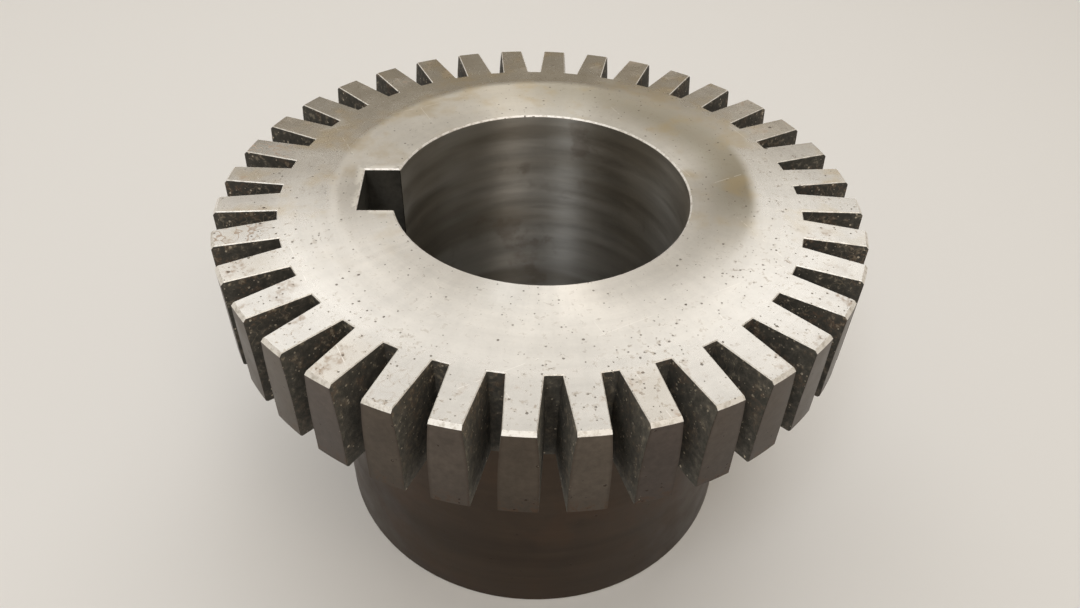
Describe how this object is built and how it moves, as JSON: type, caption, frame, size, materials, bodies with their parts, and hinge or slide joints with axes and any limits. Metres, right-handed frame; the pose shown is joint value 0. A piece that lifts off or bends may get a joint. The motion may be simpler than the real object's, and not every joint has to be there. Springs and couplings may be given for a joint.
{
  "type": "grid coupling hub",
  "caption": "Flanged steel hub of a shaft coupling, with radial slots round the rim, a plain bore with a keyway, a barrel and a setscrew.",
  "frame": {"origin": "centre of the bore at the barrel's end face, which is the lowest point when the hub stands on its barrel", "axes": "+Z along the bore axis, from the barrel's end to the gap face with the slots; -X through the keyway and the setscrew, +Y completes the right-handed set"},
  "size_m": [0.1968, 0.1968, 0.1207],
  "materials": {
    "hub_steel": "turned and faced bare steel, lightly tarnished and pitted, with dark slot walls",
    "black_oxide_steel": "black oxide, slightly oily"
  },
  "bodies": {
    "hub": {"hub": "hub_steel"},
    "setscrew": {"setscrew": "black_oxide_steel"}
  },
  "joints": [
    {"name": "setscrew_travel", "type": "slide", "parent": "hub", "child": "setscrew", "axis": [-1, 0, 0], "range_m": [-0.0007, 0.0145]}
  ]
}
